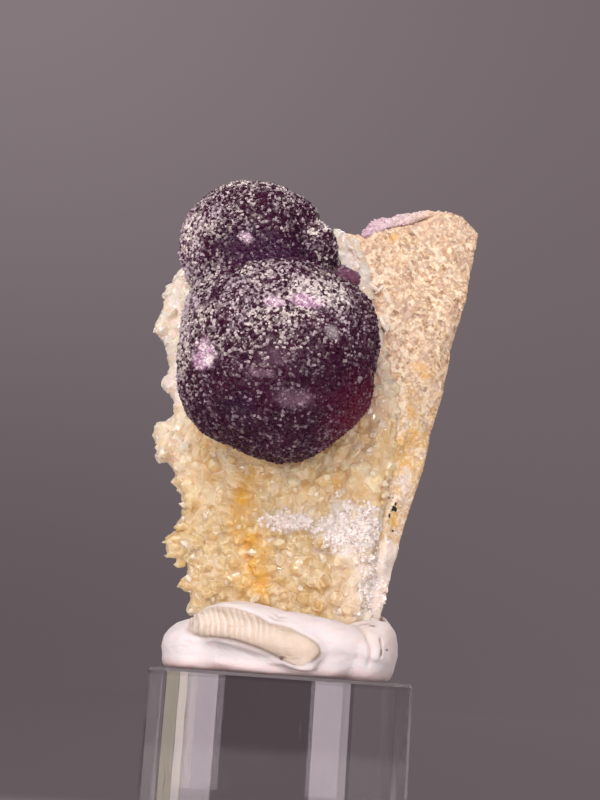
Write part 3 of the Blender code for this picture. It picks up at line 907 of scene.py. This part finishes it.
quartz = skin("quartz_druse", "quartz_crust_skin", 0.45, 5)
push(
    quartz,
    ((-18.7, 0.0, 78.0), (3.0, 6.0, 3.0), (0.25, 0.0, 0.1)),
    ((-16.2, 0.0, 80.0), (3.5, 6.0, 3.5), (-0.4, 0.0, 1.2)),
    ((-17.6, 0.0, 62.5), (2.5, 6.0, 2.0), (0.7, 0.0, -0.2)),
    ((3.7, -1.0, 87.8), (2.8, 6.0, 2.8), (0.0, 0.0, -0.8)),
    ((-18.5, 0.0, 73.5), (3.0, 6.0, 3.0), (-0.7, 0.0, 0.0)),
    ((-18.5, 0.0, 65.0), (2.5, 6.0, 2.0), (-0.3, 0.0, 0.0)),
    ((-18.0, 0.0, 61.5), (3.0, 6.0, 2.0), (0.4, 0.0, -0.3)),
    ((-18.3, 0.0, 58.0), (3.0, 6.0, 2.5), (-0.3, 0.0, 0.1)),
    ((-15.5, 0.0, 52.5), (4.0, 6.0, 6.0), (0.8, 0.0, 0.0)),
    ((-15.4, 0.2, 49.4), (3.0, 6.0, 2.6), (0.9, 0.0, 0.0)),
    ((-14.6, -0.5, 39.4), (3.0, 6.0, 2.2), (0.4, 0.0, 0.0)),
)
cover(quartz, crystal_cover)
hang(quartz, CRYSTALS, **{
    "Material": milky, "Spacing": 0.95 * MM, "Width": 1.7 * MM, "Length": 1.10 * MM, "Spread": 0.45,
    "Lean": 0.6, "Sink": 0.62 * MM, "Core": 1.0, "Seed": 4.0,
})
plain(quartz)
add_spikes(quartz, [
    ((-12.6, 0.2, 46.2), (-16.2, -0.6, 45.2), 1.9),
    ((-12.8, 0.2, 44.4), (-15.9, -0.6, 43.6), 1.5),
    ((-13.0, 0.3, 43.0), (-14.6, -0.5, 42.6), 1.1),
    ((-13.2, 0.2, 47.6), (-14.9, -0.5, 47.2), 1.1),
])
melt(quartz, 0.14, 2)
weather(quartz, milky, 8, swell=-0.02, lumps=(2.2, 0.12), blocks=(CRYSTAL_FACE, 0.22))
print("quartz skin before thinning:", triangles(quartz), "triangles")
MOST_TRIANGLES = 190000
thin = quartz.modifiers.new("thin", "DECIMATE")
thin.ratio = min(1.0, MOST_TRIANGLES / triangles(quartz))
plain(quartz)
mark_margin(quartz)

# %% Quartz tips
cover(quartz, tip_cover)
tips = hang(quartz, CRYSTALS, **{
    "Material": pale_tip, "Spacing": 0.6 * MM, "Width": 0.75 * MM, "Length": 0.8 * MM, "Spread": 0.5,
    "Lean": 0.7, "Sink": 0.42 * MM, "Core": 0.0, "Seed": 9.0,
})
quartz_tips = plain(quartz, "quartz_tips")
quartz.modifiers.remove(tips)
add_spikes(quartz_tips, [
    ((4.6, -2.6, 85.0), (5.6, -3.5, 84.2), 0.9),
    ((5.9, -2.7, 83.6), (5.2, -3.4, 84.6), 0.6),
    ((8.0, -2.4, 80.0), (9.2, -3.2, 78.9), 1.0),
    ((9.6, -2.3, 79.9), (8.6, -3.1, 78.6), 0.8),
    ((7.6, -2.6, 78.2), (8.8, -3.2, 78.0), 0.6),
    ((9.6, -2.7, 75.6), (10.4, -3.5, 73.6), 1.1),
    ((10.6, -2.7, 74.8), (10.2, -3.3, 73.2), 0.7),
    ((9.2, -3.4, 69.4), (9.9, -4.4, 67.2), 0.8),
    ((10.3, -3.3, 68.6), (9.9, -4.1, 66.8), 0.5),
    ((6.8, -3.4, 59.6), (7.9, -4.4, 58.4), 0.9),
    ((8.6, -3.5, 59.4), (8.0, -4.6, 58.2), 0.8),
    ((7.4, -3.6, 57.6), (8.6, -4.5, 57.3), 0.7),
], 0.7)
for face in quartz_tips.data.polygons:
    face.material_index = 0
quartz_tips.data.materials.clear()
quartz_tips.data.materials.append(pale_tip)

# %% Powder
cover(quartz, powder_cover)
powder = strewn(
    quartz, "quartz_powder", powder_finish(), spacing=0.20, grain=0.22, spread=0.6, sink=0.0, seed=3,
)
for piece in (quartz, quartz_tips, powder):
    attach(piece, "root")
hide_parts("quartz_druse")
print("quartz skin:", triangles(quartz), "tips:", triangles(quartz_tips), "triangles")

# %% [markdown]
# ## Host rock
#
# The rock is a fine sandy stone, tan and cream, with brown and grey grains and orange
# stains of iron. Random cells a few tenths of a millimetre across colour its grains, and
# more of them roughen the skin. Its right side is a straight break, so the skin is filled
# out along that edge, and the hidden back gets the coarser relief of a plain break.


# %% Rock finish
def rock_finish():
    f = Finish("tan rock", IOR=1.5, Roughness=0.85)
    f.colour = f.ramp(f.lot(0.6) * 0.42 + f.lot(0.3) * 0.36 + f.noise(0.8) * 0.22, [
        (0.18, (0.30, 0.17, 0.11)), (0.32, (0.54, 0.33, 0.20)), (0.46, (0.72, 0.49, 0.29)),
        (0.58, (0.84, 0.64, 0.42)), (0.76, (0.97, 0.84, 0.64)),
    ])
    cloud = f.noise(3.5, 3.0).step(0.4, 0.7)
    f.lay(cloud * 0.35, (0.80, 0.56, 0.42))
    f.lay(f.lot(0.62).step(0.64, 0.80) * 0.60, (0.58, 0.39, 0.30))
    f.lay(f.lot(0.37).step(0.80, 0.92) * 0.50, (0.98, 0.86, 0.66))
    specks = f.cells(1.1).step(0.22, 0.10) * f.noise(1.3).step(0.45, 0.6)
    f.lay(specks * 0.5, (0.36, 0.24, 0.20))
    height, front = f.axis("Z"), f.axis("Y").step(0.0005, -0.001)
    lower = height.step(0.070, 0.062) * front
    f.lay(lower * 0.3, (1.0, 0.90, 0.74))
    yellow = lower * f.noise(1.6, 3.0).step(0.38, 0.62)
    f.lay(yellow, (1.0, 0.86, 0.56), "MULTIPLY")
    f.lay(lower * f.lot(0.5).step(0.60, 0.75) * 0.5, (0.68, 0.41, 0.15))
    f.lay(lower * f.lot(0.33).step(0.76, 0.86) * 0.6, (1.0, 0.93, 0.80))
    stain = f.patches([
        ((10.8, -0.7, 87.0), (0.8, 2.0, 0.5)), ((15.9, -1.4, 68.8), (0.8, 3.0, 0.8)),
        ((14.5, -1.4, 60.5), (1.6, 3.0, 1.4)), ((13.2, -2.4, 57.2), (1.4, 3.0, 1.2)),
        ((12.8, -2.4, 49.8), (0.6, 3.0, 1.0)), ((14.2, -2.2, 64.0), (0.8, 3.0, 1.6)),
    ], 0.8, 1.0, 1.0)
    stain = stain.at_least(f.patch((15.1, -1.9, 69.6), (1.1, 3.0, 0.9), 0.6, 0.9, 1.0))
    f.lay(stain * (0.2 + f.lot(0.42) * 0.6), (0.86, 0.48, 0.09))
    crystals_on = near_border(f).step(0.70, 0.85) * f.lot(0.6).step(0.4, 0.6)
    f.lay(crystals_on * 0.6, (0.95, 0.84, 0.68))
    foot = (height + (f.noise(1.5, 3.0) - 0.5) * 0.006).step(0.0485, 0.0455) * front
    f.lay(foot * 0.8, (0.95, 0.84, 0.76))
    streak = f.patch((14.0, -2.4, 54.6), (0.7, 2.0, 2.2), 0.5, 1.0, 1.0)
    f.lay(streak * (0.1 + f.lot(0.4) * 0.6), (0.94, 0.83, 0.79))
    black = f.patches([
        ((12.75, -2.4, 51.9), (0.18, 1.0, 0.22)), ((12.1, -2.4, 50.4), (0.14, 1.0, 0.34)),
        ((11.9, -2.5, 52.7), (0.12, 1.0, 0.22)), ((12.4, -2.4, 52.6), (0.10, 1.0, 0.16)),
        ((12.7, -2.4, 48.6), (0.22, 1.0, 0.12)),
    ], 0.2, 1.0, 0.3)
    black = black.at_least(f.patch((12.6, -2.4, 51.3), (0.36, 1.5, 0.34), 0.15, 1.3, 0.35))
    f.lay(black, (0.012, 0.016, 0.016))
    pores = f.bump(f.noise(0.25, 3.0), 0.10, 0.45)
    return f.done(Roughness=0.7 + f.noise(0.5) * 0.25, Normal=pores)


# %% Rock
rock = skin("host_rock", "host_rock_skin", 0.3, 3)
weather(rock, rock_finish(), 11, swell=0.12, lumps=(3.0, 0.06), grain=(0.5, 0.09), blocks=(0.55, 0.06))
push(
    rock,
    ((19.6, -1.5, 90.8), (6.0, 8.0, 5.0), (1.0, 0.0, 1.6)),
    ((15.5, -1.5, 91.5), (7.0, 8.0, 4.0), (0.0, 0.0, 0.6)),
)
RIGHT_EDGE = np.array([(21.0, -1.5, 87.0), (15.8, -1.5, 57.0)])
places, _ = surface_of(rock)
side = np.exp(-((near_line(places, RIGHT_EDGE)[0] / 3.0) ** 2))
put(rock, places + side[:, None] * (0.50, 0.0, 0.0))
BREAK_SIZE, BREAK_HEIGHT = 6.0, 0.9
lumps = [noise.fractal(v.co / (BREAK_SIZE * MM), 1.0, 2.0, 5) for v in rock.data.vertices]
places, normals = surface_of(rock)
rough = normals[:, 1].clip(0.0, 1.0)
put(rock, places + normals * (rough * lumps * BREAK_HEIGHT - 0.3 * rough)[:, None])
mark_margin(rock)


# %% Powder on the rock
def foot_cover(place, normal):
    if normal.y > -0.2 or place.z > 50.0:
        return 0.0
    return ragged(place, (10.8, -2.5, 41.0), (2.4, 4.0, 7.5), 1.2, 0.8) * 0.7


cover(rock, foot_cover)
rock_powder = strewn(
    rock, "quartz_powder_on_rock", powder_finish(), spacing=0.28, grain=0.30, spread=0.6, sink=0.05, seed=5,
)
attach(rock_powder, "root")
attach(rock, "root")
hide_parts("host_rock")
print("rock skin:", triangles(rock), "triangles")

# %% [markdown]
# ## Putty
#
# The putty is a soft white lump, pressed round the rock's foot, with one beige finger of
# older putty rolled along its front. Fingers leave creases and fine ribs in it, and the
# creases hold dirt. Each crease is a groove along a curve, and how near a vertex is to a
# dirty one is written on it for the finish to read. The same mark carries painted shade
# under the roll, and the bottom edge gets a painted pink reflection.


# %% Putty finish
def putty_finish():
    f = Finish(
        "mounting putty", IOR=1.48, Subsurface_Weight=0.45, Subsurface_Scale=1.2 * MM,
        Subsurface_Radius=(1.0, 0.6, 0.5),
    )
    dirt, roll, rib = (f.written(name) for name in ("dirt", "roll", "rib"))
    f.colour = f.mix(f.noise(3.0, 3.0), (0.82, 0.73, 0.73), (0.88, 0.82, 0.82))
    # Painted reflection: pink light bounced up onto the bottom edge.
    f.lay(f.axis("Z").step(0.0318, 0.0302) * 0.7, (1.0, 0.74, 0.71))
    # Tan marks of handling at the right; along the top band, partly dirt and partly painted shade.
    tan_dirt_and_shade = f.patches([
        ((9.9, -7.0, 35.4), (1.7, 4.0, 1.6), 0.6, 0.8, 1.2),
        ((12.6, -5.5, 35.2), (1.2, 4.0, 2.2), 0.6, 0.9, 1.2),
    ])
    tan_dirt_and_shade = tan_dirt_and_shade.at_least(f.patch((-3.0, -7.5, 38.0), (8.0, 4.0, 0.7), 0.6, 1.2, 1.2) * 0.5)
    f.lay(tan_dirt_and_shade * (0.2 + f.noise(0.7, 3.0) * 0.5), (0.76, 0.62, 0.52))
    beige = f.mix(f.noise(1.2, 3.0), (0.61, 0.46, 0.33), (0.82, 0.69, 0.55))
    beige = f.mix(rib * 0.5, beige, (1.0, 0.90, 0.82))
    f.lay(roll * (0.65 + f.noise(0.9, 3.0) * 0.35), beige)
    # Dirt in the creases, with painted shade under the roll from the same mark.
    grime_and_shade = dirt * (0.45 + f.noise(0.5, 3.0) * 0.9)
    f.lay(grime_and_shade.at_most(0.85), (0.40, 0.27, 0.19))
    wrinkle = f.noise(0.9, 4.0, stretch=(0.35, 1.0, 1.6)).step(0.56, 0.66) * f.noise(2.5).step(0.4, 0.6)
    f.lay(wrinkle * (0.10 + roll * 0.40), (0.56, 0.42, 0.33))
    speck = f.patches([
        ((0.1, -11.8, 32.0), (0.42, 0.8, 0.22)), ((10.4, -6.6, 36.5), (0.45, 0.9, 0.16)),
        ((2.1, -11.6, 34.6), (0.12, 0.6, 0.12)), ((11.6, -8.9, 33.4), (0.10, 0.6, 0.40)),
    ], 0.3, 0.7, 0.4)
    speck = speck.at_least(f.patch((12.3, -8.1, 33.8), (0.16, 0.6, 0.16), 0.3, 0.5, 0.3))
    f.lay(speck * 0.8, (0.16, 0.09, 0.09))
    relief = f.noise(0.7, 4.0) + f.noise(0.25) * 0.3 - wrinkle * 0.5
    return f.done(Roughness=0.5 + f.noise(1.0) * 0.15, Normal=f.bump(relief, 0.12, 0.5))


# %% Putty
ROLL = [
    (-9.2, -7.3, 37.3), (-7.0, -8.4, 37.5), (-5.3, -9.0, 37.3), (-3.1, -9.3, 36.6), (-1.7, -9.6, 35.9),
    (0.3, -10.5, 35.6), (2.0, -11.5, 34.9), (3.4, -12.1, 34.3), (4.2, -11.9, 33.6), (4.5, -12.0, 32.9),
    (4.2, -12.1, 32.3), (3.4, -12.2, 31.8),
    (2.2, -10.1, 31.3), (0.7, -11.4, 31.6), (-1.4, -11.7, 32.4), (-4.1, -11.6, 33.2), (-6.6, -11.2, 33.7),
    (-9.6, -10.4, 33.8), (-11.2, -9.2, 34.4), (-11.0, -7.8, 36.0),
]


def inside(places, outline):
    """How far inside a closed outline each place is, seen from the front: 1 in it, 0 outside."""
    within = np.zeros(len(places), bool)
    for (ax, _, az), (bx, _, bz) in zip(outline, np.roll(outline, -1, axis=0)):
        crossed = (az > places[:, 2]) != (bz > places[:, 2])
        within ^= crossed & (places[:, 0] < ax + (bx - ax) * (places[:, 2] - az) / (bz - az + 1e-9))
    far, _ = near_line(places, outline)
    return np.where(within & (places[:, 1] < -5.0), np.clip(far / 0.35, 0.0, 1.0), 0.0)


putty = skin("mounting_putty", "mounting_putty_skin", 0.17, 14)
weather(putty, putty_finish(), 13, swell=0.10, lumps=(3.0, 0.10), grain=(0.8, 0.015))
push(
    putty,
    ((-13.4, -7.0, 30.9), (5.0, 8.0, 3.0), (-0.5, -0.3, 0.0)),
    ((-14.5, -6.0, 33.5), (4.0, 7.0, 4.0), (-0.35, 0.0, 0.15)),
    ((-7.0, -9.5, 30.3), (10.0, 6.0, 2.8), (0.0, -1.5, 0.0)),
    ((4.0, -9.5, 30.3), (11.0, 6.0, 2.8), (0.0, -1.5, 0.0)),
    ((12.6, -5.0, 36.4), (4.0, 7.0, 3.0), (0.45, 0.0, 0.55)),
    ((0.5, -6.5, 37.4), (3.5, 5.0, 2.0), (0.0, -0.4, 0.45)),
)

# %% Putty foot
FOOT_TOP, FOOT_WIDER = 31.8, 0.7
places, normals = surface_of(putty)
outward = normals * (1.0, 1.0, 0.0)
slant = np.linalg.norm(outward, axis=1)
flare = np.clip((FOOT_TOP - places[:, 2]) / 1.6, 0.0, 1.0) * np.clip(slant / 0.5, 0.0, 1.0)
flare *= np.clip((10.0 - places[:, 0]) / 4.0, 0.2, 1.0) * np.clip((2.0 - places[:, 1]) / 5.0, 0.0, 1.0)
places += outward / np.maximum(slant, 1e-6)[:, None] * (FOOT_WIDER * flare)[:, None]
BLOCK_TOP, PRESSED = 30.0, 2.0
rise = np.clip((places[:, 2] - BLOCK_TOP) / PRESSED, 0.0, 1.0)
places[:, 2] += PRESSED * (rise ** 2.2 - rise)
put(putty, places)

# %% Roll and ribs
rim = [*ROLL, ROLL[0]]
around = groove(putty, rim, 0.34, 0.28, 1000.0)
places, normals = surface_of(putty)
roll = inside(places, curve(rim))
RIB = 0.70
wobble = 0.14 * np.sin(1.9 * places[:, 2]) + 0.10 * np.sin(2.3 * places[:, 0])
ribs = np.sin(math.tau * (places[:, 0] + 0.25 * (places[:, 2] - 35.0) + wobble) / RIB)
ribs *= roll * np.clip((0.5 - places[:, 0]) / 4.0, 0.0, 1.0) * np.clip((places[:, 2] - 33.4) / 1.2, 0.0, 1.0)
put(putty, places + normals * (0.085 * ribs + 0.12 * roll)[:, None])

# %% Creases, dirt and painted shade
dirt = around * np.where(places[:, 0] > -3.5, 0.5, 0.35)
# Each crease is a curve, a depth, a width and how dark it gets; the flat, wide one under the roll paints
# shade there.
for corners, depth, width, stain in (
    ([(8.4, -5.7, 36.7), (9.8, -8.9, 35.2), (10.4, -9.5, 33.6), (10.1, -9.1, 32.0), (8.7, -7.2, 30.6)],
     0.30, 0.35, 0.15),
    ([(10.9, -8.0, 35.6), (11.0, -8.6, 34.0), (10.8, -9.0, 32.3)], -0.25, 0.45, 0.0),
    ([(11.4, -8.5, 35.2), (11.6, -8.8, 34.0), (11.5, -8.9, 32.7)], 0.35, 0.18, 0.9),
    ([(5.2, -8.5, 36.8), (7.6, -7.2, 36.9), (10.2, -5.8, 36.8), (11.4, -5.9, 36.4)], 0.25, 0.35, 0.7),
    ([(9.2, -6.4, 36.9), (10.6, -6.6, 36.3), (11.9, -7.4, 35.3)], 0.30, 0.25, 0.6),
    ([(-9.0, -10.0, 33.0), (-6.0, -10.6, 32.6), (-3.0, -10.8, 31.9)], 0.10, 0.30, 0.0),
    ([(-12.9, -7.6, 31.9), (-12.2, -7.9, 31.3), (-9.6, -8.5, 30.9)], 0.22, 0.25, 0.0),
    ([(-9.6, -8.9, 31.5), (-7.5, -9.0, 31.2), (-5.3, -8.9, 31.0)], 0.15, 0.22, 0.0),
    ([(-9.5, -7.0, 37.9), (-6.4, -6.9, 38.2), (-3.6, -7.6, 37.6), (-0.4, -8.8, 36.7), (1.6, -10.0, 35.9)],
     0.16, 0.22, 0.5),
    ([(-5.6, -9.4, 36.4), (-2.2, -10.2, 35.3), (0.6, -11.2, 34.6), (2.4, -11.8, 34.0)], 0.12, 0.22, 0.35),
    ([(-7.5, -10.9, 34.2), (-4.4, -11.3, 33.7), (-1.2, -11.6, 33.0)], 0.10, 0.35, 0.3),
    ([(7.0, -8.6, 35.0), (8.6, -8.4, 33.5), (8.8, -8.2, 31.8)], 0.08, 0.6, 0.0),
    # Painted shade: a flat, wide mark darkens the roll's underside tan.
    ([(-8.6, -10.8, 34.2), (-4.0, -11.5, 33.6), (-1.4, -11.6, 32.9), (0.9, -11.5, 32.0)], 0.0, 0.75, 0.45),
    ([(-6.0, -7.2, 38.0), (-3.2, -8.2, 37.2), (-0.8, -9.2, 36.4), (2.4, -10.4, 35.5), (4.4, -10.6, 34.6)],
     0.14, 0.18, 0.5),
    ([(-8.0, -9.4, 32.6), (-4.0, -9.6, 32.0), (1.0, -10.4, 30.9)], -0.10, 0.5, 0.0),
):
    dirt = np.maximum(dirt, stain * groove(putty, corners, depth, width))
mark(putty, "dirt", dirt)
mark(putty, "roll", roll)
mark(putty, "rib", np.clip(ribs, 0.0, 1.0))
for face in putty.data.polygons:
    face.use_smooth = True
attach(putty, "root")
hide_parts("mounting_putty")
print("putty skin:", triangles(putty), "triangles")

# %% [markdown]
# ## Acrylic block
#
# The block's solid is right as it is: a clear cube with eased edges. It only needs its
# finish: clear, slightly grey, with faint scratches. Its left and right sides were
# polished less, so they are satin and glow a little through the front. The front's right
# edge is matt, with a painted highlight that makes it pale, and a band of painted shade
# lies under the front's top edge.


# %% Acrylic
block_low, block_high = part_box("acrylic_block")


def acrylic_finish():
    f = Finish("clear acrylic", IOR=1.49, Transmission_Weight=1.0)
    across = f.axis("X")
    left = across.step(block_low.x + 0.25 * MM, block_low.x + 0.15 * MM)
    right = across.step(block_high.x - 0.25 * MM, block_high.x - 0.15 * MM)
    scratches = f.noise(0.3, stretch=(1.0, 1.0, 0.04)).step(0.66, 0.72)
    out = f.axis("Y").step(block_low.y + 0.5 * MM, block_low.y + 0.2 * MM)
    # Painted highlight: the front's right edge pale.
    edge = out * across.step(block_high.x - 0.5 * MM, block_high.x - 0.2 * MM)
    # Painted shade: a darker band under the front's top edge.
    painted_shade_band = out * f.axis("Z").step(block_high.z - 0.9 * MM, block_high.z - 0.6 * MM) * (1.0 - edge)
    f.colour = f.mix(edge, (0.58, 0.56, 0.57), (1.0, 0.96, 0.96))
    f.lay(painted_shade_band, (0.40, 0.37, 0.38))
    rough = (scratches * 0.2).at_least(left * 0.22).at_least(right * 0.12).at_least(edge * 0.6)
    return f.done(Roughness=rough)


block = nodes["acrylic_block"]
block.data.materials.clear()
block.data.materials.append(acrylic_finish())

# %% [markdown]
# ## Stage and light
#
# The floor is pale where the block stands and in front of it, which also lights the
# specimen from below. It melts into the grey backdrop behind, so no horizon shows. One
# soft light hangs above and in front, a little to the left. Two larger ones fill in low
# from both sides of the front and one from behind, and two small ones make the crystals
# sparkle. Upright strips beside the camera are what the block's clear faces mirror.


# %% Stage
world = bpy.data.worlds.new("backdrop")
bpy.context.scene.world = world
world.use_nodes = True
sky = Bench(world.node_tree)
direction = sky.node("ShaderNodeTexCoord", out="Generated")
rise = sky.part(direction, "Z").step(0.0, 0.48)
across = sky.part(direction, "X").step(-0.25, 0.25)
BACKDROP_LOW = (0.122, 0.096, 0.105), (0.143, 0.114, 0.124)
BACKDROP_HIGH = (0.235, 0.192, 0.206), (0.176, 0.140, 0.152)
low, high = (sky.mix(across, *pair) for pair in (BACKDROP_LOW, BACKDROP_HIGH))
sky.feed(world.node_tree.nodes["Background"].inputs["Color"], sky.mix(rise, low, high))

# %% Floor
floor_mesh = bpy.data.meshes.new("floor")
bm = bmesh.new()
bmesh.ops.create_circle(bm, cap_ends=True, segments=96, radius=1.5)
bm.to_mesh(floor_mesh)
bm.free()
floor = linked("floor", floor_mesh)
floor.location.z = -0.05 * MM
f = Finish("pale floor", Roughness=0.7)
reach = f.vector("LENGTH", f.vector("ADD", f.place, (0.0, 0.15, 0.0)), out="Value")
f.set(Base_Color=f.mix(f.noise(1.0, 3.0), (0.60, 0.57, 0.57), (0.64, 0.61, 0.61)))
backdrop = f.mix(f.axis("X").step(-0.25, 0.25), *BACKDROP_LOW)
glow = f.node("ShaderNodeEmission", None, {"Color": backdrop, "Strength": 1.0})
lit = Wire(f, f.shader.outputs[0])
blend = f.node("ShaderNodeMixShader", None, {0: reach.step(0.22, 0.31), 1: lit, 2: glow})
f.feed(f.tree.nodes["Material Output"].inputs["Surface"], blend)
floor.data.materials.append(f.material)


# %% Lights
def hang_light(light, place, turn):
    """Hangs a light where the camera doesn't see it."""
    lamp = linked(light.name, light)
    lamp.location, lamp.rotation_euler = place, turn
    lamp.visible_camera = False


def softbox(name, place, size, irradiance):
    """A square area light that faces the specimen, with its light there in W/m2."""
    light = bpy.data.lights.new(name, "AREA")
    light.size, light.color = size, (1.0, 0.96, 0.95)
    away = Vector(place) - Vector((0.0, -5.0, 60.0)) * MM
    light.energy = irradiance * math.pi * away.length_squared
    hang_light(light, place, away.to_track_quat("Z", "Y").to_euler())


softbox("key", (-0.18, -0.38, 0.46), 0.30, 1.2)
softbox("sparkle", (-0.10, -0.42, 0.40), 0.05, 0.42)
softbox("right sparkle", (0.16, -0.42, 0.28), 0.04, 0.2)
softbox("left fill", (-0.36, -0.55, 0.02), 0.50, 2.05)
softbox("right fill", (0.36, -0.55, 0.06), 0.50, 1.45)
softbox("back fill", (0.10, 0.60, 0.40), 0.60, 1.2)


def strip(name, left, right, radiance, tint=(1.0, 0.86, 0.93)):
    """A narrow upright light beside the camera that the block's clear faces mirror."""
    light = bpy.data.lights.new(name, "AREA")
    light.shape, light.size, light.size_y = "RECTANGLE", (right - left) * MM, 60.0 * MM
    light.energy = radiance * math.pi * light.size * light.size_y
    light.color = tint
    hang_light(light, Vector(((left + right) / 2.0, -180.0, 30.5)) * MM, (math.radians(90.0), 0.0, 0.0))


strip("left strip", -21.0, -14.2, 5.4)
strip("pink left strip", -23.0, -21.1, 9.5, (1.0, 0.86, 0.82))
strip("olive left strip", -26.0, -23.1, 5.6, (1.0, 0.88, 0.64))
strip("dim left strip", -34.0, -26.2, 1.5, (1.0, 0.86, 0.88))
strip("right strip", 8.1, 16.2, 5.4)
strip("dim right strip", 17.0, 42.0, 0.8)
bpy.context.scene.view_settings.view_transform = "Standard"
